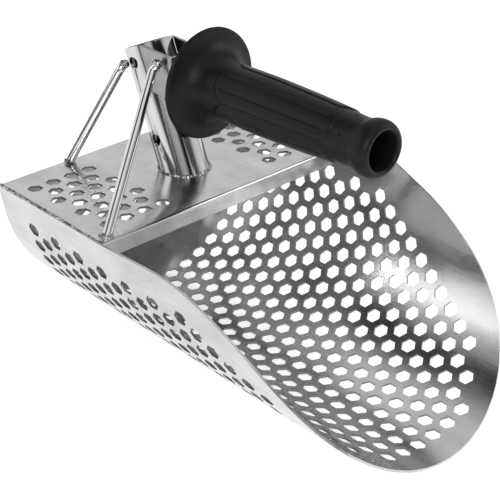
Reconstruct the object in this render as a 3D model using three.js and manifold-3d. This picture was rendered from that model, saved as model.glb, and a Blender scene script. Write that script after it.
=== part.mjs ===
// Beach sand scoop: a rolled sieve basket under a flat deck, with a leaning shaft socket, four brace
// rods and a rubber hand grip carried on a folded bracket.
//
// Units are millimetres. X runs across the scoop, -Y is forward through the open mouth and +Z is up.
// The origin is the middle of the whole scoop, on the plane that its rounded bottom touches. Inside the
// scoop's group, positions along "forward" (-Y) are counted from a line under the middle of the deck.

import * as THREE from 'three';
import { mergeVertices } from 'three/addons/utils/BufferGeometryUtils.js';
import loadManifold from 'manifold-3d';

const wasm = await loadManifold();
wasm.setup();
const { Manifold, Mesh: ManifoldMesh } = wasm;

// ---------------------------------------------------------------- driving dimensions

const tiny = 1e-6;                  // for comparing angles and areas
const gap = 0.3;                    // clearance left between pieces that touch
const sheet = 1.5;                  // thickness of the basket and deck sheet

const pitch = 13.5;                 // spacing of the sieve holes
const holeFlats = 9;                // width of a hexagonal hole across its flats
const rowStep = pitch * Math.sqrt(3) / 2;

const rollRadius = 99.6;            // outside radius of the rolled bottom
const rollAngle = THREE.MathUtils.degToRad(78.1);   // arc on each side before the wall runs straight
const rearEnd = -79;                // forward position of the basket's rear end
const splay = { width: 5.9, from: 100, end: 100 };   // the wall tops spread by this much at the deck's front
const lipStart = 50.4;              // where the side walls begin to sweep down
const lipReach = 168.2;             // length of the mouth beyond that
const lipFullness = 0.53;           // 0.5 would be an ellipse in the flat sheet

const deckHeight = 104.4;           // top of the deck at forward = 0
const deckRise = 0.0632;            // slope of the deck, rising forward
const deckFront = 35.2;             // forward position of the fold at the deck's front
const flangeDrop = 11;              // height of the folded front flange
const deckPitch = 14.24;            // spacing of the holes in the deck
const deckBlock = { x: 67, first: -57.3, rows: 7 };

const socketLean = THREE.MathUtils.degToRad(24.76);
const socket = { radius: 16, bore: 14, length: 79.1, y: 17, z: 107.4 };
const bolt = { radius: 4, heights: [18.1, 68.9] };

const bracket = { half: 13.9, wall: 2, web: 11.5, bottom: 154.9, top: 183, bend: 4 };

const grip = { y: -8.8, z: 169.3, rise: 0.0332, length: 144, bore: 11.3, disc: 35.5 };
const core = { radius: 11, bore: 9, recess: 26 };

const rod = 3;                      // radius of the brace rods
const braces = {
  front: { foot: [101.6, 31.8], crook: [19.4, -22.4, 173.5], head: [17.2, -19.9, 178] },
  rear: { foot: [47.5, -76.3], crook: [21.6, -51.7, 166.2], head: [18.4, -51.7, 168.4] },
};
const bead = { foot: 5, head: 4.3, seam: 1.4, socket: 2 };   // radii of the welds

// ---------------------------------------------------------------- materials

function metal(name, color, roughness) {
  return new THREE.MeshStandardMaterial({ name, color, roughness, metalness: 1 });
}

const makeMaterial = {
  brushed: () => metal('brushed_steel', 0xc2c3c4, 0.36),
  polished: () => metal('polished_steel', 0xd2d3d5, 0.12),
  weld: () => metal('weld_bead', 0x8d8b88, 0.5),
  rubber: () => new THREE.MeshStandardMaterial({ name: 'rubber', color: 0x232324, roughness: 0.6 }),
};

// ---------------------------------------------------------------- solids and booleans

function toManifold(geometry) {
  const bare = geometry.clone();
  bare.deleteAttribute('normal');
  bare.deleteAttribute('uv');
  const merged = mergeVertices(bare, 1e-4);
  return new Manifold(new ManifoldMesh({
    numProp: 3,
    vertProperties: merged.attributes.position.array,
    triVerts: Uint32Array.from(merged.index.array),
  }));
}

function fromManifold(solid) {
  const mesh = solid.getMesh();
  const geometry = new THREE.BufferGeometry();
  geometry.setAttribute('position', new THREE.BufferAttribute(mesh.vertProperties, 3));
  geometry.setIndex(new THREE.BufferAttribute(mesh.triVerts, 1));
  geometry.computeVertexNormals();
  return geometry;
}

function subtract(geometry, ...tools) {
  const solid = tools.reduce((rest, tool) => rest.subtract(toManifold(tool)), toManifold(geometry));
  return fromManifold(solid);
}

// A cylinder lying along Z, or along the direction given
function cylinder(radius, length, sides, direction = new THREE.Vector3(0, 0, 1)) {
  const turn = new THREE.Quaternion().setFromUnitVectors(new THREE.Vector3(0, 1, 0), direction);
  return new THREE.CylinderGeometry(radius, radius, length, sides).applyQuaternion(turn);
}

// ---------------------------------------------------------------- perforated sheet

// Corners of a hexagonal hole whose points face forward and back
function hexagon(u, v) {
  const reach = holeFlats / Math.sqrt(3);
  return Array.from({ length: 6 }, (_, k) => {
    const angle = THREE.MathUtils.degToRad(30 + 60 * k);
    return new THREE.Vector2(u + reach * Math.cos(angle), v + reach * Math.sin(angle));
  });
}

function doubleArea(a, b, c) {
  return (b.x - a.x) * (c.y - a.y) - (b.y - a.y) * (c.x - a.x);
}

function cornerAngle(corner, a, b) {
  return Math.abs(Math.atan2(doubleArea(corner, a, b), a.clone().sub(corner).dot(b.clone().sub(corner))));
}

// Turns the shared edge of neighbouring triangles wherever that makes them rounder, so that no long
// triangle reaches around the bend when the flat sheet is rolled.
function roundOff(points, faces) {
  let turned = true;
  while (turned) {
    turned = false;
    const owners = new Map();
    const touched = new Set();
    faces.forEach((face, index) => {
      for (let k = 0; k < 3; k += 1) {
        const [a, b, c] = [face[k], face[(k + 1) % 3], face[(k + 2) % 3]];
        const key = `${Math.min(a, b)}_${Math.max(a, b)}`;
        const other = owners.get(key);
        if (other === undefined) {
          owners.set(key, { index, far: c });
          continue;
        }
        if (touched.has(index) || touched.has(other.index)) continue;
        const d = other.far;
        const [pa, pb, pc, pd] = [a, b, c, d].map((i) => points[i]);
        const flat = cornerAngle(pc, pa, pb) + cornerAngle(pd, pa, pb);
        if (flat < Math.PI + tiny) continue;
        if (doubleArea(pa, pd, pc) < tiny || doubleArea(pd, pb, pc) < tiny) continue;
        faces[index] = [a, d, c];
        faces[other.index] = [d, b, c];
        touched.add(index).add(other.index);
        turned = true;
      }
    });
  }
}

// Builds a closed sheet from a flat outline with holes. place(point, depth) puts a flat point on the
// sheet's face at depth 0 and on the opposite face at the full thickness.
function perforatedSheet(outline, holes, place) {
  const loops = [outline, ...holes];
  const points = loops.flat();
  const faces = THREE.ShapeUtils.triangulateShape(outline, holes).map(([a, b, c]) => (
    doubleArea(points[a], points[b], points[c]) < 0 ? [a, c, b] : [a, b, c]));
  roundOff(points, faces);

  const count = points.length;
  const corners = [...points.map((p) => place(p, 0)), ...points.map((p) => place(p, sheet))];
  const index = faces.flatMap(([a, b, c]) => [a, b, c, a + count, c + count, b + count]);
  let start = 0;
  loops.forEach((loop) => {
    const forward = THREE.ShapeUtils.area(loop) > 0 === (loop === outline);
    loop.forEach((_, k) => {
      const near = start + k;
      const next = start + (k + 1) % loop.length;
      const [a, b] = forward ? [near, next] : [next, near];
      index.push(a, a + count, b, b, a + count, b + count);
    });
    start += loop.length;
  });

  const geometry = new THREE.BufferGeometry().setFromPoints(corners);
  geometry.setIndex(index);
  geometry.computeVertexNormals();
  return geometry;
}

// Centres of a hexagonal lattice: rows run along u, and every other row is shifted by half a step
function lattice(step, shift, firstRow, rows, halfWidth, keep) {
  const centres = [];
  for (let row = 0; row < rows; row += 1) {
    const v = firstRow + row * step * Math.sqrt(3) / 2;
    const columns = Math.ceil(2 * halfWidth / step) + 2;
    for (let column = -columns; column <= columns; column += 1) {
      const u = shift + (column + (row % 2) / 2) * step;
      if (Math.abs(u) <= halfWidth && keep(u, v)) centres.push([u, v]);
    }
  }
  return centres;
}

// ---------------------------------------------------------------- basket

// How far the wall stands out from the plain roll: it grows towards the top of the wall and forward to
// the front of the deck, and dies away along the lip.
function spread(s, v) {
  const height = Math.max(Math.abs(s) - splay.from, 0) / (wallLength(deckTop(deckFront)) - splay.from);
  const along = THREE.MathUtils.clamp((v - rearEnd) / (deckFront - rearEnd), 0, 1);
  const left = 1 - THREE.MathUtils.smoothstep(v, lipStart, splay.end);
  return splay.width * height ** 2 * along * left;
}

// A point of the rolled shell: s is measured around the sheet from the bottom, v is forward, and
// inset is the depth below the outer surface.
function shellPoint(s, v, inset) {
  const angle = THREE.MathUtils.clamp(s / rollRadius, -rollAngle, rollAngle);
  const straight = Math.max(Math.abs(s) - rollRadius * rollAngle, 0);
  const radius = rollRadius - inset;
  const out = straight * Math.cos(rollAngle) + spread(s, v);
  const x = radius * Math.sin(angle) + Math.sign(s) * out;
  const z = rollRadius - radius * Math.cos(angle) + straight * Math.sin(rollAngle);
  return new THREE.Vector3(x, -v, z);
}

function deckTop(v) {
  return deckHeight + deckRise * v;
}

// Distance around the sheet from the bottom to where its surface at that inset reaches a height
function wallLength(height, inset = 0) {
  const rollTop = rollRadius - (rollRadius - inset) * Math.cos(rollAngle);
  return rollRadius * rollAngle + (height - rollTop) / Math.sin(rollAngle);
}

// Half the width of the basket at a height and forward position, to its surface at that inset
function halfWidth(height, v, inset) {
  return shellPoint(wallLength(height, inset), v, inset).x;
}

function basketShell() {
  const halfRear = wallLength(deckTop(rearEnd));
  const halfFront = wallLength(deckTop(lipStart));
  const rearSteps = 24;
  const sideSteps = 8;
  const lipSteps = 48;
  const outline = [];
  for (let k = 0; k <= rearSteps; k += 1) {
    outline.push(new THREE.Vector2(halfRear * (2 * k / rearSteps - 1), rearEnd));
  }
  const sides = Array.from({ length: sideSteps - 1 }, (_, k) => {
    const v = THREE.MathUtils.lerp(rearEnd, lipStart, (k + 1) / sideSteps);
    return new THREE.Vector2(wallLength(deckTop(v)), v);
  });
  outline.push(...sides);
  for (let k = 0; k <= lipSteps; k += 1) {
    const angle = Math.PI * k / lipSteps;
    const v = lipStart + lipReach * Math.sin(angle) ** (2 * lipFullness);
    outline.push(new THREE.Vector2(halfFront * Math.cos(angle), v));
  }
  outline.push(...sides.reverse().map(({ x, y }) => new THREE.Vector2(-x, y)));

  // The sieve stops short of the seams and the lip: its own edge is a smaller curve of the same kind
  const sieve = { half: 10.35 * pitch, reach: 11.4 * pitch, fullness: 0.56, shift: 0.21 * pitch };
  const inside = (s, v) => {
    const room = Math.max(1 - (s / sieve.half) ** 2, 0);
    return v <= lipStart + sieve.reach * room ** sieve.fullness;
  };
  const rows = 22;
  const firstRow = 5.128 * pitch - 10 * rowStep;
  const centres = lattice(pitch, sieve.shift, firstRow, rows, 10.25 * pitch, inside);
  const stretch = 1.022;            // rolling drew the left half of the sheet out a little
  const holes = centres.map(([s, v]) => hexagon(s < 0 ? s * stretch : s, v));
  return perforatedSheet(outline, holes, (p, depth) => shellPoint(p.x, p.y, depth));
}

// The D-shaped panel that closes the rear, set inside the shell's end
function basketBack() {
  const top = deckTop(rearEnd) - sheet - gap;
  const half = wallLength(top, sheet + gap);
  const steps = 28;
  const outline = Array.from({ length: steps + 1 }, (_, k) => {
    const rim = shellPoint(half * (2 * k / steps - 1), rearEnd, sheet + gap);
    return new THREE.Vector2(rim.x, rim.z);
  });
  const margin = 1.35 * pitch;
  const inside = (x, z) => {
    const depth = rollRadius - Math.hypot(x, Math.min(z - rollRadius, 0));
    return depth > margin && z < top - margin;
  };
  const centres = lattice(pitch, 0, margin, 9, rollRadius, inside);
  const holes = centres.map(([x, z]) => hexagon(x, z));
  return perforatedSheet(outline, holes, (p, depth) => new THREE.Vector3(p.x, -rearEnd - sheet + depth, p.y));
}

// ---------------------------------------------------------------- deck

// A strip of sheet folded down at the front of the deck, with ends that follow the leaning walls
function frontFlange() {
  const top = deckTop(deckFront) - sheet / 2;
  const bottom = deckTop(deckFront) - flangeDrop;
  const halfAt = (height) => halfWidth(height, deckFront - sheet, sheet) - gap;
  const shape = new THREE.Shape([
    new THREE.Vector2(-halfAt(top - sheet), top),
    new THREE.Vector2(-halfAt(bottom), bottom),
    new THREE.Vector2(halfAt(bottom), bottom),
    new THREE.Vector2(halfAt(top - sheet), top),
  ]);
  const flange = new THREE.ExtrudeGeometry(shape, { depth: sheet, bevelEnabled: false });
  return flange.rotateX(Math.PI / 2).translate(0, -deckFront + sheet, 0);
}

function topDeck() {
  const steps = 10;
  const edge = Array.from({ length: steps + 1 }, (_, k) => {
    const v = THREE.MathUtils.lerp(rearEnd, deckFront, k / steps);
    return new THREE.Vector2(halfWidth(deckTop(v) - sheet, v, sheet) - gap, v);
  });
  const outline = [...edge, ...edge.toReversed().map(({ x, y }) => new THREE.Vector2(-x, y))];
  const { x, first, rows } = deckBlock;
  const block = lattice(deckPitch, deckPitch / 2, first, rows, 1.6 * deckPitch, () => true);
  const holes = [-1, 1].flatMap((side) => block.map(([u, v]) => hexagon(side * x + u, v)));
  const plate = perforatedSheet(outline, holes, (p, depth) => (
    new THREE.Vector3(p.x, -p.y, deckTop(p.y) - sheet + depth)));
  return fromManifold(toManifold(plate).add(toManifold(frontFlange())));
}

// ---------------------------------------------------------------- socket and bracket

const socketAxis = new THREE.Vector3(0, Math.sin(socketLean), Math.cos(socketLean));
const socketFoot = new THREE.Vector3(0, socket.y, socket.z);

// A block whose upper face is the plane of the deck's top, used to cut pieces that stand on the deck
function belowDeck(clearance) {
  const depth = 60;
  const block = new THREE.BoxGeometry(4 * deckHeight, 4 * deckHeight, depth).translate(0, 0, -depth / 2);
  return block.rotateX(-Math.atan(deckRise)).translate(0, 0, deckHeight + clearance);
}

function socketTube() {
  const spare = 40;                 // extra length below, removed by the mitre
  const { radius, bore, length } = socket;
  const profile = [[bore, -spare], [radius, -spare], [radius, length], [bore, length], [bore, -spare]];
  const tube = new THREE.LatheGeometry(profile.map(([r, h]) => new THREE.Vector2(r, h)), 40);
  tube.rotateX(Math.PI / 2 - socketLean).translate(...socketFoot);
  const crossBolts = bolt.heights.map((height) => {
    const centre = socketFoot.clone().addScaledVector(socketAxis, height);
    return cylinder(bolt.radius, 3 * radius, 20, new THREE.Vector3(1, 0, 0)).translate(...centre);
  });
  return subtract(tube, belowDeck(gap), ...crossBolts);
}

// A U of sheet seen from above: the web faces forward and the cheeks run back to the socket
function handleBracket() {
  const { half, wall, web, bottom, top, bend } = bracket;
  const back = 70;
  const shape = new THREE.Shape();
  shape.moveTo(-half, back);
  shape.lineTo(-half, web + bend);
  shape.absarc(-half + bend, web + bend, bend, Math.PI, 1.5 * Math.PI, false);
  shape.absarc(half - bend, web + bend, bend, 1.5 * Math.PI, 2 * Math.PI, false);
  shape.lineTo(half, back);
  shape.lineTo(half - wall, back);
  shape.absarc(half - bend, web + bend, bend - wall, 0, -0.5 * Math.PI, true);
  shape.absarc(-half + bend, web + bend, bend - wall, -0.5 * Math.PI, -Math.PI, true);
  shape.lineTo(-half + wall, back);
  shape.closePath();
  const folded = new THREE.ExtrudeGeometry(shape, {
    depth: top - bottom, bevelEnabled: false, curveSegments: 5,
  }).translate(0, 0, bottom);

  const middle = socketFoot.clone().addScaledVector(socketAxis, socket.length);
  const tube = cylinder(socket.radius + gap, 140, 40).rotateX(-socketLean).translate(...middle);
  const behind = new THREE.BoxGeometry(60, 80, 140).translate(0, 40, 0).rotateX(-socketLean);
  return subtract(folded, tube, behind.translate(...middle));
}

// ---------------------------------------------------------------- grip

// A body turned about the grip's axis, from [radius, distance forward of the disc] pairs
function gripTurning(profile, sides) {
  const points = profile.map(([r, a]) => new THREE.Vector2(r, a));
  const turning = new THREE.LatheGeometry(points, sides);
  return turning.rotateX(Math.PI - Math.atan(grip.rise));
}

function gripSleeve() {
  const { bore, disc, length } = grip;
  return gripTurning([
    [bore, -4], [24, -4], [disc - 1, -1.5], [disc, 0], [disc - 1, 1.5], [29, 2.2], [23, 5],
    [19, 11], [17.6, 20], [17.8, 50], [16.6, 95], [15.2, 124], [15.3, 128], [17, 133],
    [17.1, 139], [15.4, 143], [13, length], [12, length - 1], [bore, length - 3], [bore, -4],
  ], 32);
}

function handleTube() {
  const start = grip.y - bracket.web + 3 * gap;
  const end = grip.length - core.recess;
  const { radius, bore } = core;
  return gripTurning([[bore, start], [radius, start], [radius, end], [bore, end], [bore, start]], 24);
}

// ---------------------------------------------------------------- braces and welds

// A round bar through the points given, mitred at each of them. A closed one runs back to its start.
function bar(points, radius, sides, closed = false) {
  const count = points.length;
  const corners = [];
  points.forEach((point, i) => {
    const before = points[closed ? (i + count - 1) % count : Math.max(i - 1, 0)];
    const after = points[closed ? (i + 1) % count : Math.min(i + 1, count - 1)];
    const along = after.clone().sub(before).normalize();
    const up = new THREE.Vector3(0, 0, 1).addScaledVector(along, -along.z).normalize();
    const across = along.clone().cross(up);
    for (let k = 0; k < sides; k += 1) {
      const angle = 2 * Math.PI * k / sides;
      corners.push(point.clone()
        .addScaledVector(up, radius * Math.cos(angle))
        .addScaledVector(across, radius * Math.sin(angle)));
    }
  });

  const index = [];
  const spans = closed ? count : count - 1;
  for (let i = 0; i < spans; i += 1) {
    const near = i * sides;
    const far = ((i + 1) % count) * sides;
    for (let k = 0; k < sides; k += 1) {
      const next = (k + 1) % sides;
      index.push(near + k, near + next, far + next, near + k, far + next, far + k);
    }
  }
  if (!closed) {
    const last = (count - 1) * sides;
    for (let k = 1; k < sides - 1; k += 1) {
      index.push(0, k + 1, k, last, last + k, last + k + 1);
    }
  }
  const geometry = new THREE.BufferGeometry().setFromPoints(corners);
  geometry.setIndex(index);
  geometry.computeVertexNormals();
  return geometry;
}

// Each rod runs straight up from the deck and is bent over just below its head
function braceRoute({ foot, crook, head }, side) {
  const [start, bend, end] = [[...foot, deckTop(foot[1])], crook, head].map(([x, v, z]) => (
    new THREE.Vector3(side * x, -v, z)));
  const below = start.clone().lerp(bend, -0.1);
  return [below, bend.clone().lerp(start, 0.02), bend.clone().lerp(end, 0.2), end];
}

function brace(place, side, radius) {
  return subtract(bar(braceRoute(place, side), radius, 12), belowDeck(gap));
}

// A lump of weld metal where a rod stands on the deck, ground flush with the deck's rear edge
function footBead(place, side) {
  const [x, v] = place.foot;
  const lump = new THREE.SphereGeometry(bead.foot, 14, 10).scale(1, 1, 0.75);
  lump.translate(side * x, -v, deckTop(v) + gap);
  const reach = 2 * deckHeight;
  const behind = new THREE.BoxGeometry(reach, reach, reach).translate(0, reach / 2 - rearEnd, deckHeight);
  return subtract(lump, bar(braceRoute(place, side), rod + gap, 12), belowDeck(gap), behind);
}

// What the heads of the rods are welded to, with the clearance added all round
function carrier() {
  const { half, web, bottom, top } = bracket;
  const depth = 30;
  const cheeks = new THREE.BoxGeometry(2 * (half + gap), depth, top - bottom + 2 * gap);
  cheeks.translate(0, web - gap + depth / 2, (top + bottom) / 2);
  const tube = cylinder(socket.radius + gap, 3 * socket.length, 40).rotateX(-socketLean);
  return [cheeks, tube.translate(...socketFoot)];
}

// A lump of weld metal over the head of a rod
function headBead(place, side) {
  const route = braceRoute(place, side);
  const lump = new THREE.SphereGeometry(bead.head, 14, 10).translate(...route.at(-1));
  return subtract(lump, bar(route, rod + gap, 12), ...carrier());
}

// The bead where the socket meets the deck follows the slanting cut of the tube
function socketBead() {
  const across = new THREE.Vector3(0, Math.cos(socketLean), -Math.sin(socketLean));
  const steps = 32;
  const radius = socket.radius + gap;
  const ring = Array.from({ length: steps }, (_, k) => {
    const angle = 2 * Math.PI * k / steps;
    const wall = socketFoot.clone().addScaledVector(across, radius * Math.sin(angle));
    wall.x = radius * Math.cos(angle);
    const rise = deckTop(-wall.y) + gap - wall.z;
    return wall.addScaledVector(socketAxis, rise / (socketAxis.z + deckRise * socketAxis.y));
  });
  const tube = cylinder(radius, 3 * socket.length, 40).rotateX(-socketLean).translate(...socketFoot);
  return subtract(bar(ring, bead.socket, 10, true), tube, belowDeck(gap));
}

// The bead along the joint of the deck and the wall, clear of the wall's slanting edge
function seamBead(side) {
  const steps = 6;
  const route = Array.from({ length: steps + 1 }, (_, k) => {
    const v = THREE.MathUtils.lerp(rearEnd + 1, deckFront - 10, k / steps);
    return new THREE.Vector3(side * halfWidth(deckTop(v), v, sheet), -v, deckTop(v) + gap);
  });
  return subtract(bar(route, bead.seam, 10), belowDeck(2.5 * gap));
}

// The ring of weld that joins the handle's core tube to the bracket's web
function handleBead() {
  const start = grip.y - bracket.web + 3 * gap;
  const inner = core.radius + gap;
  return gripTurning([
    [inner, start], [inner + 2.6, start], [inner + 2, start + 1.5], [inner, start + 2.4], [inner, start],
  ], 24);
}

// ---------------------------------------------------------------- assembly

const scoop = new THREE.Group();
scoop.position.y = (lipStart + lipReach + rearEnd) / 2;

function add(parent, name, geometry, material) {
  const mesh = new THREE.Mesh(geometry, material());
  mesh.name = name;
  parent.add(mesh);
  return mesh;
}

add(scoop, 'basket_shell', basketShell(), makeMaterial.brushed);
add(scoop, 'basket_back', basketBack(), makeMaterial.brushed);
add(scoop, 'top_deck', topDeck(), makeMaterial.brushed);
add(scoop, 'socket_tube', socketTube(), makeMaterial.polished);
add(scoop, 'handle_bracket', handleBracket(), makeMaterial.brushed);

const handle = new THREE.Group();
handle.position.set(0, grip.y, grip.z);
scoop.add(handle);
add(handle, 'handle_tube', handleTube(), makeMaterial.polished);
add(handle, 'grip_sleeve', gripSleeve(), makeMaterial.rubber);
add(handle, 'weld_handle', handleBead(), makeMaterial.weld);

add(scoop, 'weld_socket', socketBead(), makeMaterial.weld);
[['left', -1], ['right', 1]].forEach(([name, side]) => {
  add(scoop, `weld_seam_${name}`, seamBead(side), makeMaterial.weld);
  Object.entries(braces).forEach(([end, place]) => {
    add(scoop, `brace_${end}_${name}`, brace(place, side, rod), makeMaterial.polished);
    add(scoop, `weld_foot_${end}_${name}`, footBead(place, side), makeMaterial.weld);
    add(scoop, `weld_head_${end}_${name}`, headBead(place, side), makeMaterial.weld);
  });
});

export default scoop;
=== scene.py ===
# %% [markdown]
# # A beach sand scoop, finished in Blender
#
# The scoop's solids arrive as a fixed frame. This lesson keeps every size of that frame, rebuilds the
# pieces whose surfaces need to be smooth, and gives each one a finish made of shader nodes.

# %% Load the frame
import math

import bmesh
import bpy
from mathutils import Matrix, Vector, noise


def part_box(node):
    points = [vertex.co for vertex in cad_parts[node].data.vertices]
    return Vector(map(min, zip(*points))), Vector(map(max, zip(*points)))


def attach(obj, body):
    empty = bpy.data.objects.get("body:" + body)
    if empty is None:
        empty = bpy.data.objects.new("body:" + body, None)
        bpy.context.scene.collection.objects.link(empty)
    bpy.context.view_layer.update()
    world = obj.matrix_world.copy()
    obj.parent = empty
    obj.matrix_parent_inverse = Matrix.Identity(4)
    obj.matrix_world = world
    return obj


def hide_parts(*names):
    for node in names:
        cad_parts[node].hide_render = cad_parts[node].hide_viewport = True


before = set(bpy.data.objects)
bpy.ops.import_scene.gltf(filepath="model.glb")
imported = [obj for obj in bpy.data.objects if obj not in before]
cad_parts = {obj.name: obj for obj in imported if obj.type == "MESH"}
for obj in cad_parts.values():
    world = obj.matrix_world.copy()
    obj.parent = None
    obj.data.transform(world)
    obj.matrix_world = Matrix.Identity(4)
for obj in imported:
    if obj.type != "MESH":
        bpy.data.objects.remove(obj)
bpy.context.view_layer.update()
MM = 0.001

# %% [markdown]
# ## The camera
#
# The scoop is seen from its front left and from above, with a long lens so that its lines stay nearly
# parallel. A camera looks along its own -Z, so its axes are worked out from the aim, and the small
# roll turns them about that line.

# %% Camera
CAMERA_PLACE = Vector((-0.5331, -0.5287, 0.5005))
CAMERA_AIM = Vector((-0.0321, -0.0112, 0.0938))
CAMERA_ROLL = math.radians(1.288)
CAMERA_LENS = 99.8


def aimed_matrix(place, aim, roll=0.0):
    """A matrix that stands at place and looks at aim along its own -Z."""
    forward = (aim - place).normalized()
    level = forward.cross(Vector((0, 0, 1))).normalized()
    upright = level.cross(forward)
    right = math.cos(roll) * level + math.sin(roll) * upright
    up = math.cos(roll) * upright - math.sin(roll) * level
    turn = Matrix((right, up, -forward)).transposed()
    return Matrix.Translation(place) @ turn.to_4x4()


camera = bpy.data.objects.new("camera", bpy.data.cameras.new("camera"))
camera.data.lens = CAMERA_LENS
camera.data.clip_start = 0.01
camera.matrix_world = aimed_matrix(CAMERA_PLACE, CAMERA_AIM, CAMERA_ROLL)
bpy.context.scene.collection.objects.link(camera)
bpy.context.scene.camera = camera
print("camera at", tuple(round(c, 3) for c in CAMERA_PLACE))

# %% [markdown]
# ## A small language for finishes
#
# A finish is a tree of shader nodes. Wiring them by hand is long, so one class wraps a socket and lets
# Python's own operators add the Math nodes. Every other node comes from one method, which sets the
# node up first and then fills its sockets with numbers or with other wires. The room's light is a tree
# of nodes too, so the class for trees serves both.

# %% Wires and finishes
class Wire:
    """A number, colour or vector on its way through a tree of nodes."""

    def __init__(self, wiring, socket):
        self.wiring = wiring
        self.socket = socket

    def maths(self, operation, a, b=None):
        values = [a] if b is None else [a, b]
        return self.wiring.node("ShaderNodeMath", {"operation": operation}, dict(enumerate(values)))

    def __add__(self, other):
        return self.maths("ADD", self, other)

    def __sub__(self, other):
        return self.maths("SUBTRACT", self, other)

    def __rsub__(self, other):
        return self.maths("SUBTRACT", other, self)

    def __mul__(self, other):
        return self.maths("MULTIPLY", self, other)

    __radd__, __rmul__ = __add__, __mul__


class Wiring:
    """A tree of nodes under construction, for a material or for the room."""

    def __init__(self, owner):
        owner.use_nodes = True
        self.tree = owner.node_tree
        self.tree.nodes.clear()

    def node(self, kind, settings, sockets, output=0):
        """Adds a node. Its settings come first, because some of them change its sockets."""
        made = self.tree.nodes.new(kind)
        for key, value in settings.items():
            if key == "stops":
                for at, shade in value:
                    stop = made.color_ramp.elements.new(at)
                    stop.color = (shade, shade, shade, 1)
                made.color_ramp.elements.remove(made.color_ramp.elements[0])
                made.color_ramp.elements.remove(made.color_ramp.elements[-1])
            else:
                setattr(made, key, value)
        for key, value in sockets.items():
            if isinstance(value, Wire):
                self.tree.links.new(value.socket, made.inputs[key])
            else:
                made.inputs[key].default_value = value
        return Wire(self, made.outputs[output]) if made.outputs else None

    def ramp(self, value, *stops):
        """A grey that runs through the stops given, as (value, grey) pairs."""
        return self.node("ShaderNodeValToRGB", {"stops": stops}, {"Fac": value})

    def blend(self, factor, a, b):
        """A colour between a and b."""
        settings = {"data_type": "RGBA"}
        return self.node("ShaderNodeMix", settings, {0: factor, 6: a, 7: b}, 2)

    def along(self, direction, axis):
        """How far a direction agrees with an axis, from -1 to 1."""
        sockets = {0: direction, 1: axis}
        return self.node("ShaderNodeVectorMath", {"operation": "DOT_PRODUCT"}, sockets, "Value")


class Finish(Wiring):
    """A material under construction."""

    def __init__(self, name):
        self.material = bpy.data.materials.new(name)
        super().__init__(self.material)

    def place(self, scale, turn=(0, 0, 0)):
        """The point on the piece, in metres, stretched and turned for a pattern."""
        point = self.node("ShaderNodeTexCoord", {}, {}, "Object")
        return self.node("ShaderNodeMapping", {}, {"Vector": point, "Rotation": turn, "Scale": scale})

    def cloud(self, scale, detail=3.0, turn=(0, 0, 0)):
        """Soft noise between 0 and 1, around 0.5."""
        sockets = {"Vector": self.place(scale, turn), "Scale": 1.0, "Detail": detail}
        return self.node("ShaderNodeTexNoise", {}, sockets)

    def bump(self, height, strength, distance):
        sockets = {"Height": height, "Strength": strength, "Distance": distance}
        return self.node("ShaderNodeBump", {}, sockets)

    def surface(self, sockets):
        shader = self.node("ShaderNodeBsdfPrincipled", {}, sockets)
        self.node("ShaderNodeOutputMaterial", {}, {"Surface": shader})
        return self.material


print("finish tools ready")

# %% [markdown]
# ## Brushed sheet
#
# The basket, the deck and the bracket are stainless sheet with a fine brushed grain. The grain is
# noise squeezed hard across one direction: it makes the shine vary by a little, and a very slight bump
# spreads reflections across the grain. Broader clouds stand for handling and for the uneven polish.
# The walls of the holes were cut and never polished, so wherever a face carries the mark "cut" the
# metal is duller, and its colour is also darkened as painted shade inside the holes. That painted shade
# is what draws a fine dark line around each hole.

# %% Brushed sheet finish
# painted shade: the dark grey that the walls of the holes are darkened towards
HOLE_SHADE_GREY = (0.12, 0.12, 0.12, 1)


def brushed_sheet(name, grain, base, rough, spread):
    finish = Finish(name)
    streaks = finish.cloud(grain, 4)
    clouds = finish.cloud((22, 22, 22), 3)
    smears = finish.cloud((70, 26, 60), 4, (0.2, 0.4, 0.5))
    mottle = clouds * 0.4 + smears * 0.4 + streaks * 0.2
    tone = finish.ramp(mottle, (0.38, base * 0.82), (0.6, base * 1.1))
    shine = streaks * spread + clouds * 0.14 + smears * 0.14 + (rough - 0.14 - spread / 2)
    cut = finish.node("ShaderNodeAttribute", {"attribute_name": "cut"}, {}, "Fac")
    return finish.surface({
        # the colour of the "cut" hole walls is painted shade; their added roughness is the duller cut
        # metal
        "Base Color": finish.blend(cut * 0.75, tone, HOLE_SHADE_GREY), "Metallic": 1.0,
        "Roughness": shine + cut * 0.2,
        "Normal": finish.bump(streaks, 0.035, 0.0003),
    })


SHELL_STEEL = brushed_sheet("shell_steel", (900, 35, 900), 0.60, 0.21, 0.07)
DECK_STEEL = brushed_sheet("deck_steel", (60, 1100, 300), 0.64, 0.20, 0.07)
BRACKET_STEEL = brushed_sheet("bracket_steel", (700, 700, 60), 0.34, 0.30, 0.12)
print("brushed sheet: three grains")

# %% [markdown]
# ## Polished tube and rod
#
# Drawn tube and rod are polished to a mirror, with faint draw lines along their length. Broad clouds
# vary their tone and shine a little.

# %% Polished steel finish
def polished_steel(name, grain, base, rough):
    finish = Finish(name)
    lines = finish.cloud(grain, 4)
    clouds = finish.cloud((40, 40, 40), 3)
    tone = finish.ramp(clouds, (0.3, base * 0.92), (0.7, base * 1.04))
    return finish.surface({
        "Base Color": tone, "Metallic": 1.0, "Roughness": lines * 0.06 + clouds * 0.05 + (rough - 0.055),
        "Normal": finish.bump(lines, 0.03, 0.0003),
    })


TUBE_STEEL = polished_steel("tube_steel", (600, 260, 30), 0.58, 0.10)
ROD_STEEL = polished_steel("rod_steel", (500, 500, 40), 0.80, 0.15)
print("polished steel: tube and rod")

# %% [markdown]
# ## Weld metal
#
# A weld that nobody has ground is a row of frozen ripples with dark scale between bright spots. Its
# ripples are real geometry. The finish adds the scale and the pitting.

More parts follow.
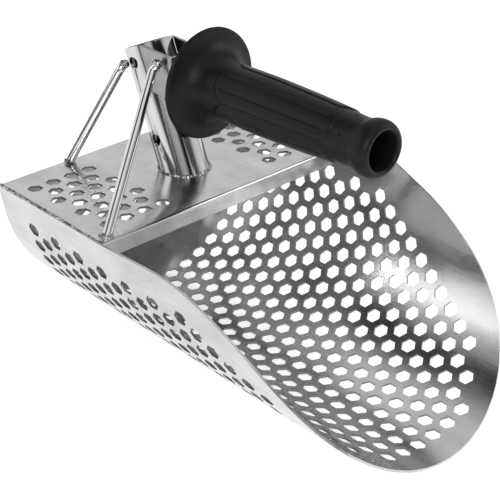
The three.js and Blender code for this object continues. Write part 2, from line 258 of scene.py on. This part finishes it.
# %% Weld finish
def weld_metal():
    finish = Finish("weld_metal")
    scale = finish.cloud((500, 500, 500), 4)
    heat = finish.ramp(finish.cloud((330, 330, 330), 3), (0.36, 0.0), (0.62, 1.0))
    dark_scale, bare_metal = (0.10, 0.095, 0.09, 1), (0.62, 0.61, 0.60, 1)
    tint = finish.blend(heat, dark_scale, bare_metal)
    return finish.surface({
        "Base Color": tint, "Metallic": 1.0, "Roughness": scale * 0.3 + 0.12,
        "Normal": finish.bump(scale, 0.35, 0.0005),
    })


WELD_METAL = weld_metal()
print("weld metal ready")

# %% [markdown]
# ## Grip rubber
#
# Moulded rubber is black but never quite: a fine grain scatters a soft sheen, and worn places shine a
# little more. Two sizes of noise give the grain and the uneven sheen.

# %% Rubber finish
def grip_rubber():
    finish = Finish("grip_rubber")
    grain = finish.cloud((1500, 1500, 1500), 2)
    wear = finish.cloud((45, 45, 45), 4)
    tone = finish.blend(wear, (0.0045, 0.0045, 0.0048, 1), (0.0085, 0.0085, 0.009, 1))
    return finish.surface({
        "Base Color": tone, "Roughness": wear * 0.22 + grain * 0.1 + 0.27, "Specular IOR Level": 0.22,
        "Normal": finish.bump(grain, 0.12, 0.0002),
    })


RUBBER = grip_rubber()
print("rubber ready")

# %% [markdown]
# ## Making and placing pieces
#
# Every piece is a bmesh that ends as an object at the origin, with its place in its mesh. Faces that
# meet at a shallow angle are shaded smooth and the rest stay crisp. Each piece then rides on the one
# body of this welded object, hides the solids that it stands for, and takes its material in a slot.

# %% Piece helpers
CRISP = math.radians(32)


def finished(name, shape, material, replaces=(), crisp=CRISP):
    """Turns a bmesh into a piece of the scoop."""
    mesh = bpy.data.meshes.new(name)
    shape.to_mesh(mesh)
    shape.free()
    mesh.shade_smooth()
    mesh.set_sharp_from_angle(angle=crisp)
    mesh.materials.clear()
    mesh.materials.append(material)
    piece = bpy.data.objects.new(name, mesh)
    bpy.context.scene.collection.objects.link(piece)
    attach(piece, "root")
    if replaces:
        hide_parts(*replaces)
    print(name, len(mesh.polygons), "faces")
    return piece


def copied(node, merge=0.02 * MM):
    """A bmesh of a CAD node's solid, with its loose triangles joined."""
    shape = bmesh.new()
    shape.from_mesh(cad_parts[node].data)
    bmesh.ops.remove_doubles(shape, verts=shape.verts, dist=merge)
    return shape


def sliced(shape, axis, start, end, step):
    """Cuts the faces with planes across an axis, so that they can bend there."""
    normal = Vector([1.0 if k == axis else 0.0 for k in range(3)])
    count = round((end - start) / step)
    for k in range(1, count):
        everything = shape.verts[:] + shape.edges[:] + shape.faces[:]
        place = normal * (start + (end - start) * k / count)
        bmesh.ops.bisect_plane(shape, geom=everything, dist=1e-7, plane_co=place, plane_no=normal)


print("piece helpers ready")

# %% [markdown]
# ## The basket: unroll, slice, roll again
#
# The basket is one perforated sheet rolled to a U. The frame holds it as flat facets between the
# holes, which would shine like cut glass. Its outer skin is taken off, unrolled to the flat sheet that
# it was cut from, sliced across every few millimetres, and rolled again on a true curve. The sheet's
# thickness is then grown inwards. The holes keep their exact places, because they come from the frame.
#
# Growing the thickness leaves a ring of small wall faces around each hole and one long ring around the
# sheet's rim. The short rings get the mark "cut" that the finish reads.

# %% The roll
ROLL_RADIUS = 99.6 * MM
ROLL_ANGLE = math.radians(78.1)
SHEET = 1.5 * MM
REAR_END = 79.0 * MM
SHIFT = (50.4 + 168.2 - 79.0) / 2 * MM
DECK_HEIGHT = 104.4 * MM
DECK_RISE = 0.0632
DECK_FRONT = 35.2 * MM
SPLAY = {"width": 5.9 * MM, "from": 100 * MM, "start": -REAR_END, "front": DECK_FRONT, "lip": 50.4 * MM,
         "end": 100 * MM}


NEAR_BOTTOM = 30 * MM            # below this a height says too little, so the angle is measured


def deck_top(forward):
    return DECK_HEIGHT + DECK_RISE * forward


def wall_length(height):
    """Distance around the sheet from the bottom line to a height on the wall."""
    roll_top = ROLL_RADIUS * (1 - math.cos(ROLL_ANGLE))
    return ROLL_RADIUS * ROLL_ANGLE + (height - roll_top) / math.sin(ROLL_ANGLE)


def spread(around, forward):
    """How far the top of the wall stands out from the plain roll."""
    rise = max(abs(around) - SPLAY["from"], 0) / (wall_length(deck_top(SPLAY["front"])) - SPLAY["from"])
    along = min(max((forward - SPLAY["start"]) / (SPLAY["front"] - SPLAY["start"]), 0), 1)
    fade = min(max((forward - SPLAY["lip"]) / (SPLAY["end"] - SPLAY["lip"]), 0), 1)
    return SPLAY["width"] * rise ** 2 * along * (1 - fade * fade * (3 - 2 * fade))


def unrolled(point):
    """Where a point of the outer skin lies on the flat sheet: (around, forward)."""
    x, y, z = point
    if z > ROLL_RADIUS * (1 - math.cos(ROLL_ANGLE)):
        around = wall_length(z)
    elif z > NEAR_BOTTOM:
        around = ROLL_RADIUS * math.acos(1 - z / ROLL_RADIUS)
    else:
        around = abs(ROLL_RADIUS * math.atan2(x, ROLL_RADIUS - z))
    return math.copysign(around, x), SHIFT - y


def rolled(around, forward, inset=0.0):
    """A point of the rolled sheet, at a depth below its outer skin."""
    angle = min(max(around / ROLL_RADIUS, -ROLL_ANGLE), ROLL_ANGLE)
    straight = max(abs(around) - ROLL_RADIUS * ROLL_ANGLE, 0)
    radius = ROLL_RADIUS - inset
    out = math.copysign(straight * math.cos(ROLL_ANGLE) + spread(around, forward), around)
    z = ROLL_RADIUS - radius * math.cos(angle) + straight * math.sin(ROLL_ANGLE)
    return Vector((radius * math.sin(angle) + out, SHIFT - forward, z))


print("flat sheet is", round(2 * wall_length(deck_top(0)) / MM), "mm around")

# %% Peel, slice and roll the skin
def sheet_normal(point):
    """Outward from the roll, at any point of the sheet."""
    x, _, z = point
    low = min(z, ROLL_RADIUS * (1 - math.cos(ROLL_ANGLE)))
    return Vector((x, 0, low - ROLL_RADIUS)).normalized()


def peeled_skin():
    """The basket's outer faces alone."""
    skin = copied("basket_shell")
    skin.normal_update()
    others = [f for f in skin.faces if f.normal.dot(sheet_normal(f.calc_center_median())) < 0.7]
    bmesh.ops.delete(skin, geom=others, context="FACES")
    return skin


skin = peeled_skin()
print("skin of", len(skin.faces), "facets")
for vert in skin.verts:
    around, forward = unrolled(vert.co)
    vert.co = (around, forward, 0)
HALF_SHEET, LIP_TIP = 164 * MM, 219 * MM
sliced(skin, 0, -HALF_SHEET, HALF_SHEET, 4 * MM)
sliced(skin, 1, -REAR_END, LIP_TIP, 9 * MM)
bmesh.ops.recalc_face_normals(skin, faces=skin.faces)
if skin.faces[0].normal.z > 0:
    bmesh.ops.reverse_faces(skin, faces=skin.faces)
print("sliced to", len(skin.faces), "facets")

# %% Hole walls
HOLE_ROUND = 45 * MM             # longer than the way around one hole


def mark_hole_walls(shape, inside):
    """Marks the walls of the holes, ring by ring. The long ring is the sheet's own rim."""
    cut = shape.faces.layers.float.new("cut")
    left = {f for f in shape.faces if 0 < sum(v in inside for v in f.verts) < len(f.verts)}
    while left:
        ring, edge_of_ring = [left.pop()], 0.0
        for face in ring:
            for edge in face.edges:
                if (edge.verts[0] in inside) == (edge.verts[1] in inside):
                    edge_of_ring += edge.calc_length() / 2
                    continue
                fresh = [f for f in edge.link_faces if f in left]
                left.difference_update(fresh)
                ring.extend(fresh)
        for face in ring:
            face[cut] = float(edge_of_ring < HOLE_ROUND)


print("holes are rings shorter than", round(HOLE_ROUND / MM), "mm")

# %% Grow the thickness
grown = bmesh.ops.extrude_face_region(skin, geom=skin.faces[:], use_keep_orig=True)
inner_verts = [g for g in grown["geom"] if isinstance(g, bmesh.types.BMVert)]
inside = set(inner_verts)
mark_hole_walls(skin, inside)
for vert in skin.verts:
    vert.co = rolled(vert.co.x, vert.co.y, SHEET if vert in inside else 0.0)
bmesh.ops.recalc_face_normals(skin, faces=skin.faces)
basket = finished("basket", skin, SHELL_STEEL, ["basket_shell"], math.radians(40))

# %% [markdown]
# ## The rear panel
#
# The panel that closes the basket is flat, and so the frame's own solid is already the right shape. It
# only needs the sheet's finish.

# %% Rear panel
rear_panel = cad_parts["basket_back"]
rear_panel.data.materials.clear()
rear_panel.data.materials.append(SHELL_STEEL)
print("rear panel finished in", SHELL_STEEL.name)

# %% [markdown]
# ## The deck and its fold
#
# The deck is a flat sheet whose front edge is folded down. A fold has a radius, and that radius is what
# catches the light. The flat triangles are dissolved into clean faces, the fold's edge is bevelled into
# an arc, and the sheet's other edges get the tiny bevel that deburring leaves. The walls of its holes
# get the mark "cut" by their small size.

# %% Deck
FOLD_RADIUS = 2.0 * MM
WALL_AREA = 12 * MM * MM         # the walls of the deck's holes are all smaller than this


def deburred(piece, width, segments=2):
    """Rounds the sharp edges of a piece a little."""
    bevel = piece.modifiers.new("deburr", "BEVEL")
    bevel.width = width
    bevel.segments = segments
    bevel.limit_method = "ANGLE"
    bevel.angle_limit = math.radians(50)
    bevel.harden_normals = False
    return piece


deck_shape = copied("top_deck")
bmesh.ops.dissolve_limit(deck_shape, angle_limit=math.radians(0.6), verts=deck_shape.verts,
                         edges=deck_shape.edges)


cut = deck_shape.faces.layers.float.new("cut")
for face in deck_shape.faces:
    face[cut] = float(face.calc_area() < WALL_AREA and abs(face.normal.z) < 0.3)


def on_fold(vert):
    front = abs(vert.co.y - (SHIFT - DECK_FRONT)) < 0.05 * MM
    return front and abs(vert.co.z - deck_top(DECK_FRONT)) < 0.05 * MM


fold = [e for e in deck_shape.edges if on_fold(e.verts[0]) and on_fold(e.verts[1])]
bmesh.ops.bevel(deck_shape, geom=fold, offset=FOLD_RADIUS, segments=6, affect="EDGES", profile=0.5,
                material=-1)
deck = deburred(finished("deck", deck_shape, DECK_STEEL, ["top_deck"]), 0.2 * MM, 1)
print("fold made of", len(fold), "edge(s)")

# %% [markdown]
# ## The socket tube
#
# A pole goes into this leaning tube and two bolts go through it. A tube is a small rectangle turned
# about an axis. It is turned too long, cut to the slope of the deck with one plane and closed again by
# bridging the two rims. The bolt holes are drilled with a boolean, which is applied at once so that the
# bevel that follows finds the edges of the holes.

# %% Turning and drilling
SOCKET_LEAN = math.radians(24.76)
SOCKET_FOOT = Vector((0, 17 * MM + SHIFT, 107.4 * MM))
SOCKET_AXIS = Vector((0, math.sin(SOCKET_LEAN), math.cos(SOCKET_LEAN)))
SOCKET_RADIUS = 16 * MM
SOCKET_BORE = 14 * MM
SOCKET_LENGTH = 79.1 * MM
BOLT_RADIUS = 4 * MM
BOLT_HEIGHTS = (18.1 * MM, 68.9 * MM)
DECK_NORMAL = Vector((0, DECK_RISE, 1)).normalized()
DECK_POINT = Vector((0, SHIFT, DECK_HEIGHT))
GAP = 0.3 * MM                   # the air left between the deck and what stands on it


def turned(profile, steps):
    """A body turned about Z from a closed outline of (radius, along) pairs."""
    shape = bmesh.new()
    verts = [shape.verts.new((r, 0, a)) for r, a in profile]
    edges = [shape.edges.new(pair) for pair in zip(verts, verts[1:] + verts[:1])]
    bmesh.ops.spin(shape, geom=verts + edges, cent=(0, 0, 0), axis=(0, 0, 1), dvec=(0, 0, 0),
                   angle=2 * math.pi, steps=steps, use_merge=True, use_duplicate=False)
    bmesh.ops.remove_doubles(shape, verts=shape.verts, dist=1e-6)
    bmesh.ops.recalc_face_normals(shape, faces=shape.faces)
    return shape


def along_axis(origin, axis):
    """The matrix that takes Z to an axis through a point, with X kept across the scoop."""
    across = Vector((1, 0, 0))
    return Matrix.Translation(origin) @ Matrix((across, axis.cross(across), axis)).transposed().to_4x4()


def trimmed(shape, point, normal):
    """Cuts away what lies behind a plane."""
    everything = shape.verts[:] + shape.edges[:] + shape.faces[:]
    bmesh.ops.bisect_plane(shape, geom=everything, dist=1e-7, plane_co=point, plane_no=normal,
                           clear_inner=True)
    return [e for e in shape.edges if e.is_boundary]


def drilled(piece, cutters):
    """Cuts each cutter's shape out of a piece, once and for all."""
    for cutter in cutters:
        mesh = bpy.data.meshes.new("cutter")
        cutter.to_mesh(mesh)
        cutter.free()
        tool = bpy.data.objects.new("cutter", mesh)
        bpy.context.scene.collection.objects.link(tool)
        cut = piece.modifiers.new("drill", "BOOLEAN")
        cut.object = tool
        cut.solver = "EXACT"
        bpy.context.view_layer.update()
        view = piece.evaluated_get(bpy.context.evaluated_depsgraph_get())
        result = bpy.data.meshes.new_from_object(view)
        piece.modifiers.clear()
        piece.data = result
        bpy.data.objects.remove(tool)
    piece.data.shade_smooth()
    piece.data.set_sharp_from_angle(angle=CRISP)
    return piece


print("turning tools ready")

# %% Socket tube
spare = 40 * MM
tube_wall = [(SOCKET_BORE, -spare), (SOCKET_RADIUS, -spare), (SOCKET_RADIUS, SOCKET_LENGTH),
             (SOCKET_BORE, SOCKET_LENGTH)]
tube_shape = turned(tube_wall, 96)
tube_shape.transform(along_axis(SOCKET_FOOT, SOCKET_AXIS))
rims = trimmed(tube_shape, DECK_POINT + DECK_NORMAL * GAP, DECK_NORMAL)
bmesh.ops.bridge_loops(tube_shape, edges=rims)
bmesh.ops.recalc_face_normals(tube_shape, faces=tube_shape.faces)
socket = finished("socket", tube_shape, TUBE_STEEL, ["socket_tube"])

cutters = []
for height in BOLT_HEIGHTS:
    drill = bmesh.new()
    bmesh.ops.create_cone(drill, cap_ends=True, segments=40, radius1=BOLT_RADIUS, radius2=BOLT_RADIUS,
                          depth=48 * MM)
    centre = SOCKET_FOOT + SOCKET_AXIS * height
    drill.transform(Matrix.Translation(centre) @ Matrix.Rotation(math.pi / 2, 4, "Y"))
    cutters.append(drill)
drilled(socket, cutters)
deburred(socket, 0.35 * MM)
print("socket drilled:", len(socket.data.polygons), "faces")

# %% [markdown]
# ## The folded bracket
#
# The bracket is a strip folded to a U, with its two cheeks cut to fit the tube. Its cut edges shine
# because they were sheared and deburred, so they get a slightly wider bevel than the deck's.

# %% Bracket
bracket_shape = copied("handle_bracket")
bmesh.ops.dissolve_limit(bracket_shape, angle_limit=math.radians(0.6), verts=bracket_shape.verts,
                         edges=bracket_shape.edges)
bracket = finished("bracket", bracket_shape, BRACKET_STEEL, ["handle_bracket"])
deburred(bracket, 0.3 * MM)

# %% [markdown]
# ## The brace rods
#
# Four round rods run straight from the deck and are bent over at the head, where they lie against the
# piece that they brace. A ring of edges is extruded from station to station. Each new ring slides along
# the rod until it lies in the plane that halves the bend, as in a mitred pipe.

# %% Rods
ROD_RADIUS = 3 * MM
BEND_REACH = 2.4 * MM            # how much of each leg the bend at the head takes up
# Each brace: (across, forward) of its foot, then (across, forward, up) of its bend and of its head
BRACES = {
    "front": ((101.6, 31.8), (19.4, -22.4, 173.5), (17.2, -19.9, 178.0)),
    "rear": ((47.5, -76.3), (21.6, -51.7, 166.2), (18.4, -51.7, 168.4)),
}


def extruded_ring(shape, edges):
    """A copy of a ring of edges, joined to it by faces: its points and its edges."""
    made = bmesh.ops.extrude_edge_only(shape, edges=edges)["geom"]
    verts = [g for g in made if isinstance(g, bmesh.types.BMVert)]
    fresh = set(verts)
    ring = [g for g in made if isinstance(g, bmesh.types.BMEdge) and fresh.issuperset(g.verts)]
    return verts, ring


def rod_through(stations, radius, sides=24):
    """A round rod through the stations. It is open at both ends."""
    shape = bmesh.new()
    first = (stations[1] - stations[0]).normalized()
    turn = first.to_track_quat("Z", "Y").to_matrix().to_4x4()
    start = Matrix.Translation(stations[0]) @ turn
    bmesh.ops.create_circle(shape, segments=sides, radius=radius, matrix=start)
    ring = shape.edges[:]
    for k in range(1, len(stations)):
        before = (stations[k] - stations[k - 1]).normalized()
        after = (stations[min(k + 1, len(stations) - 1)] - stations[k]).normalized()
        halving = (before + after).normalized()
        verts, ring = extruded_ring(shape, ring)
        for vert in verts:
            vert.co += before * ((stations[k] - vert.co).dot(halving) / before.dot(halving))
    return shape


def rounded_corner(a, b, c, reach, steps=5):
    """Stations that round off the corner at b between a and c."""
    start = b + (a - b).normalized() * reach
    end = b + (c - b).normalized() * reach
    return [start.lerp(b, k / steps).lerp(b.lerp(end, k / steps), k / steps) for k in range(steps + 1)]


def brace_stations(place, side):
    """From below the deck, where the rod is trimmed, around its bend to its head."""
    (x, forward), crook, head = place
    foot = Vector((side * x * MM, SHIFT - forward * MM, deck_top(forward * MM)))
    bend = Vector((side * crook[0] * MM, SHIFT - crook[1] * MM, crook[2] * MM))
    end = Vector((side * head[0] * MM, SHIFT - head[1] * MM, head[2] * MM))
    return [foot.lerp(bend, -0.1), *rounded_corner(foot, bend, end, BEND_REACH), end]


for end, place in BRACES.items():
    for name, side in (("left", -1), ("right", 1)):
        rod_shape = rod_through(brace_stations(place, side), ROD_RADIUS)
        trimmed(rod_shape, DECK_POINT + DECK_NORMAL * GAP, DECK_NORMAL)
        bmesh.ops.holes_fill(rod_shape, edges=rod_shape.edges, sides=0)
        bmesh.ops.recalc_face_normals(rod_shape, faces=rod_shape.faces)
        deburred(finished(f"rod_{end}_{name}", rod_shape, ROD_STEEL,
                          [f"brace_{end}_{name}"]), 0.5 * MM)

# %% [markdown]
# ## Weld lumps and beads
#
# A weld lump is a ball of metal that sagged and froze, so it starts as a ball that noise pushes in and
# out. A bead is a row of such puddles: a ring or a bar whose thickness swells at an even beat. The
# seams along the deck are thick at the rear and thin out forward. The noise is a fixed function of
# place, so every run gives the same metal.

# %% Lumps
def roughened(shape, size, amount):
    """Moves each point along its normal by noise of a certain size."""
    shape.normal_update()
    for vert in shape.verts:
        vert.co += vert.normal * noise.fractal(vert.co / size, 0.8, 2.0, 3) * amount


def weld_lump(node, squash, grow, coarse):
    """A lump of weld in the place of a CAD node, smaller and flatter by two factors."""
    low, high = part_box(node)
    half = (high - low) / 2 * grow
    shape = bmesh.new()
    bmesh.ops.create_icosphere(shape, subdivisions=4, radius=1.0)
    bmesh.ops.scale(shape, vec=(half.x, half.y, half.z * squash), verts=shape.verts)
    bmesh.ops.translate(shape, vec=(low + high) / 2, verts=shape.verts)
    roughened(shape, 2.2 * MM, coarse)
    return shape


def finished_lump(shape, node):
    finished(node.replace("weld_", "lump_"), shape, WELD_METAL, [node])


for end in BRACES:
    for side in ("left", "right"):
        foot_node, head_node = f"weld_foot_{end}_{side}", f"weld_head_{end}_{side}"
        lump = weld_lump(foot_node, squash=0.85, grow=0.84, coarse=0.9 * MM)
        trimmed(lump, DECK_POINT + DECK_NORMAL * 0.1 * MM, DECK_NORMAL)
        bmesh.ops.holes_fill(lump, edges=lump.edges, sides=0)
        finished_lump(lump, foot_node)
        finished_lump(weld_lump(head_node, squash=0.9, grow=0.76, coarse=0.4 * MM), head_node)

# %% Beads
def bead_ring(radius, thick, puddles, stretch=1.0, steps=180):
    """A ring of weld about Z, in the plane Z = 0, swollen at each puddle and stretched along Y."""
    shape = bmesh.new()
    upright = Matrix.Translation((radius, 0, 0)) @ Matrix.Rotation(math.pi / 2, 4, "X")
    bmesh.ops.create_circle(shape, segments=12, radius=thick, matrix=upright)
    bmesh.ops.spin(shape, geom=shape.verts[:] + shape.edges[:], cent=(0, 0, 0), axis=(0, 0, 1),
                   dvec=(0, 0, 0), angle=2 * math.pi, steps=steps, use_merge=True, use_duplicate=False)
    bmesh.ops.recalc_face_normals(shape, faces=shape.faces)
    for vert in shape.verts:
        angle = math.atan2(vert.co.y, vert.co.x)
        middle = Vector((math.cos(angle), math.sin(angle), 0)) * radius
        swell = 0.72 + 0.42 * abs(math.sin(angle * puddles / 2))
        vert.co = middle + (vert.co - middle) * swell
        vert.co.y *= stretch
    return shape


lean = SOCKET_AXIS.angle(DECK_NORMAL)
reach = (DECK_POINT - SOCKET_FOOT).dot(DECK_NORMAL) / SOCKET_AXIS.dot(DECK_NORMAL)
socket_bead = bead_ring(SOCKET_RADIUS - 0.1 * MM, 1.15 * MM, 30, 1 / math.cos(lean))
socket_bead.transform(along_axis(SOCKET_FOOT + SOCKET_AXIS * reach, DECK_NORMAL))
roughened(socket_bead, 1.6 * MM, 0.5 * MM)
bottom = trimmed(socket_bead, DECK_POINT + DECK_NORMAL * 0.05 * MM, DECK_NORMAL)
bmesh.ops.bridge_loops(socket_bead, edges=bottom)
bmesh.ops.recalc_face_normals(socket_bead, faces=socket_bead.faces)
finished("bead_socket", socket_bead, WELD_METAL, ["weld_socket"])

# %% Seams
SEAM_STEPS = 90
SEAM_RADIUS = 1.25 * MM
SEAM_BEAT = 1.5 * MM


def seam_point(side, forward):
    """Where the deck meets the wall on one side."""
    point = rolled(side * wall_length(deck_top(forward)), forward, SHEET)
    point.z = deck_top(forward) - 0.1 * MM
    return point


for name, side in (("left", -1), ("right", 1)):
    start, end = -REAR_END + 1.5 * MM, DECK_FRONT - 6.5 * MM
    seam = rod_through([seam_point(side, start + (end - start) * k / SEAM_STEPS)
                        for k in range(SEAM_STEPS + 1)], SEAM_RADIUS, 10)
    for vert in seam.verts:
        forward = SHIFT - vert.co.y
        share = (forward + REAR_END) / (DECK_FRONT + REAR_END)
        beat = 0.85 + 0.3 * abs(math.sin(forward / SEAM_BEAT))
        centre = seam_point(side, forward)
        vert.co = centre + (vert.co - centre) * beat * (1.15 - 0.55 * share)
    bmesh.ops.holes_fill(seam, edges=seam.edges, sides=0)
    bmesh.ops.recalc_face_normals(seam, faces=seam.faces)
    roughened(seam, 2.5 * MM, 0.3 * MM)
    finished(f"bead_seam_{name}", seam, WELD_METAL, [f"weld_seam_{name}"])

# %% [markdown]
# ## The grip
#
# The grip is one rubber moulding: a thin guard, a tapering body with four raised panels, and a bulb at
# the end. Its outline is turned first, from a few corners that are cut smaller and smaller until the
# line is smooth. Then the panels, the finger grooves and the dimples are pressed into the turned skin
# by moving its points in or out, which is how a mould would be engraved.

# %% Outline
GRIP_ORIGIN = Vector((0, -8.8 * MM + SHIFT, 169.3 * MM))
GRIP_RISE = math.atan(0.0332)
GRIP_AXIS = Vector((0, -math.cos(GRIP_RISE), math.sin(GRIP_RISE)))
BORE = 11.3
GUARD = [(BORE, -4), (20, -4), (28, -3.4), (33, -1.9), (35.3, -1.2), (35.5, 0.2), (34.6, 1.3), (31, 1.7),
         (26.5, 3.0), (22.5, 6.4), (19.4, 11.5), (18.0, 17), (17.5, 24)]
BODY = [(17.6, 36), (17.7, 50), (17.3, 70), (16.7, 92), (15.9, 108), (15.2, 119), (15.0, 126)]
BULB = [(15.1, 129.5), (16.1, 131.6), (17.1, 134.6), (17.3, 138), (16.7, 141.2), (15.1, 143.5),
        (13.3, 144), (12.0, 143.2), (11.5, 141), (BORE, 137), (BORE, 118)]


def cut_corners(points):
    """One round of corner cutting: each stretch keeps its middle half."""
    made = [points[0]]
    for (r0, a0), (r1, a1) in zip(points, points[1:]):
        made.append((r0 * 0.75 + r1 * 0.25, a0 * 0.75 + a1 * 0.25))
        made.append((r0 * 0.25 + r1 * 0.75, a0 * 0.25 + a1 * 0.75))
    return made + [points[-1]]


def even(points, step):
    """Points a step apart along a line."""
    made, carry = [points[0]], 0.0
    for (r0, a0), (r1, a1) in zip(points, points[1:]):
        length = math.hypot(r1 - r0, a1 - a0)
        at = step - carry
        while at <= length:
            made.append((r0 + (r1 - r0) * at / length, a0 + (a1 - a0) * at / length))
            at += step
        carry = (carry + length) % step
    return made


outline = GUARD + BODY + BULB
for _ in range(3):
    outline = cut_corners(outline)
outline = even(outline, 0.58)
print("outline of", len(outline), "points")

# %% Panels, grooves and dimples
PANEL = {"half": 45.0, "shoulder": 33.0, "tip": 20.5, "end": 108.0, "bow": 7.5, "height": 0.85}
GROOVE = {"angle": 17.0, "start": 28.0, "end": 108.0, "half": 0.95, "depth": 0.75}
DIMPLE = {"along": 122.0, "count": 12, "radius": 1.1, "depth": 0.6}


def eased(value, low, high):
    share = min(max((value - low) / (high - low), 0), 1)
    return share * share * (3 - 2 * share)


def engraving(along, degrees, radius):
    """How far the skin stands above the plain turning, in millimetres."""
    across = (degrees % 90) - 45
    share = min(abs(across) / PANEL["half"], 1)
    start = PANEL["shoulder"] - (PANEL["shoulder"] - PANEL["tip"]) * math.sqrt(1 - share ** 2)
    end = PANEL["end"] + PANEL["bow"] * (1 - share ** 2)
    edge = radius * math.radians(PANEL["half"] - abs(across))
    raised = eased(along, start - 0.2, start + 1.3) * eased(end - along, -0.2, 1.3)
    height = PANEL["height"] * raised * eased(edge, 0.3, 1.4)
    off = radius * math.radians(abs(abs(across) - GROOVE["angle"]))
    past = max(GROOVE["start"] - along, along - GROOVE["end"], 0)
    outside = eased(math.hypot(off, past), GROOVE["half"] * 0.35, GROOVE["half"] * 1.5)
    height -= GROOVE["depth"] * (1 - outside)
    step = 360 / DIMPLE["count"]
    turn = (degrees + step / 2) % step - step / 2
    away = math.hypot(radius * math.radians(turn), along - DIMPLE["along"])
    return height - DIMPLE["depth"] * (1 - eased(away, DIMPLE["radius"] * 0.4, DIMPLE["radius"]))


grip_shape = turned([(r * MM, a * MM) for r, a in outline], 232)
for vert in grip_shape.verts:
    radius, along = math.hypot(vert.co.x, vert.co.y) / MM, vert.co.z / MM
    if radius > BORE + 1.5 and 15 < along < 128:
        degrees = math.degrees(math.atan2(vert.co.y, -vert.co.x))
        grown_by = 1 + engraving(along, degrees, radius) / radius
        vert.co.x *= grown_by
        vert.co.y *= grown_by
grip_shape.transform(along_axis(GRIP_ORIGIN, GRIP_AXIS))
grip = finished("grip", grip_shape, RUBBER, ["grip_sleeve"], math.radians(60))

# %% [markdown]
# ## The core tube
#
# Inside the rubber a steel tube runs back to the bracket, where a ring of weld holds it. Both are turned.

# %% Core tube and its weld
core_start, core_end = -19.4, 118.0
core_shape = turned([(9 * MM, core_start * MM), (11 * MM, core_start * MM), (11 * MM, core_end * MM),
                     (9 * MM, core_end * MM)], 64)
core_shape.transform(along_axis(GRIP_ORIGIN, GRIP_AXIS))
deburred(finished("core_tube", core_shape, TUBE_STEEL, ["handle_tube"]), 0.3 * MM)
handle_bead = bead_ring(11.6 * MM, 1.3 * MM, 26)
handle_bead.transform(along_axis(GRIP_ORIGIN + GRIP_AXIS * core_start * MM, GRIP_AXIS))
roughened(handle_bead, 2.0 * MM, 0.35 * MM)
finished("bead_handle", handle_bead, WELD_METAL, ["weld_handle"])

# %% [markdown]
# ## Floor and light
#
# The scoop lies on a pale seamless floor that glows a little, so that it stays white where it is seen
# through the holes. Polished steel has almost no colour of its own and shows the room instead, so the
# light is built for its reflections. The room is bright behind the scoop and dark on the camera's side,
# with dark upright bands to the left and right that give the tube and the rods their streaks. A ceiling
# panel draws the bright line along each rod. Three soft lamps add the highlights: one low behind at the
# left for the inside of the basket, one at each side for the rubber.

# %% Floor
floor_shape = bmesh.new()
bmesh.ops.create_grid(floor_shape, x_segments=1, y_segments=1, size=6.0)
floor_mesh = bpy.data.meshes.new("floor")
floor_shape.to_mesh(floor_mesh)
floor_shape.free()
floor_finish = Finish("floor_paper")
paper = floor_finish.cloud((3, 3, 3), 2)
floor_mesh.materials.append(floor_finish.surface({
    "Base Color": floor_finish.ramp(paper, (0.3, 0.90), (0.7, 0.93)), "Roughness": 0.9,
    "Emission Color": (1, 1, 1, 1), "Emission Strength": 0.55,
}))
floor = bpy.data.objects.new("floor", floor_mesh)
bpy.context.scene.collection.objects.link(floor)

# %% Soft panels
def soft_panel(name, place, aim, size, power):
    """A rectangular lamp, in metres and watts, turned to light a point."""
    light = bpy.data.lights.new(name, "AREA")
    light.shape = "RECTANGLE"
    light.size, light.size_y = size
    light.energy = power
    lamp = bpy.data.objects.new(name, light)
    lamp.matrix_world = aimed_matrix(Vector(place), Vector(aim))
    bpy.context.scene.collection.objects.link(lamp)
    return lamp


MIDDLE = (0, 0, 0.1)
soft_panel("panel_behind", (-1.04, 0.84, 0.66), MIDDLE, (0.6, 0.7), 2.0)
soft_panel("panel_left", (-1.1, -0.75, 0.95), MIDDLE, (0.3, 0.5), 6)
soft_panel("panel_right", (1.2, -0.5, 1.1), MIDDLE, (0.6, 0.6), 3)

# %% Room
room = bpy.data.worlds.new("room")
bpy.context.scene.world = room
room_light = Wiring(room)
toward = room_light.node("ShaderNodeTexCoord", {}, {}, "Generated")
FRONT = (CAMERA_PLACE - CAMERA_AIM).normalized()
RIGHT = Vector((0, 0, 1)).cross(FRONT).normalized()
CEILING = Vector((0, -0.25, 0.97))
facing = room_light.along(toward, FRONT)
sideways = room_light.along(toward, RIGHT)
overhead = room_light.along(toward, CEILING)
depth = room_light.ramp(facing, (0.0, 1.0), (0.3, 0.8), (0.5, 0.15), (0.66, 0.1), (0.72, 0.9), (0.8, 0.9),
                        (0.86, 0.08), (1.0, 0.05))
bands = room_light.ramp(sideways * 0.5 + 0.5, (0.0, 0.12), (0.04, 0.2), (0.08, 1.0), (0.16, 1.0),
                        (0.21, 0.1), (0.28, 0.06), (0.38, 0.8), (0.62, 0.85), (0.68, 0.1), (0.75, 0.08),
                        (0.8, 0.8), (1.0, 0.7))
ceiling = room_light.ramp(overhead, (0.88, 0.0), (0.94, 0.9))
shade = room_light.node("ShaderNodeMath", {"operation": "MAXIMUM"}, {0: depth * bands, 1: ceiling})
BACKDROP = (1.06, 1.06, 1.06, 1)
seen = room_light.node("ShaderNodeLightPath", {}, {}, "Is Camera Ray")
level = room_light.blend(seen, shade, BACKDROP)
background = room_light.node("ShaderNodeBackground", {}, {"Color": level, "Strength": 0.95})
room_light.node("ShaderNodeOutputWorld", {}, {"Surface": background})
bpy.context.scene.view_settings.view_transform = "Standard"
print("room ready")
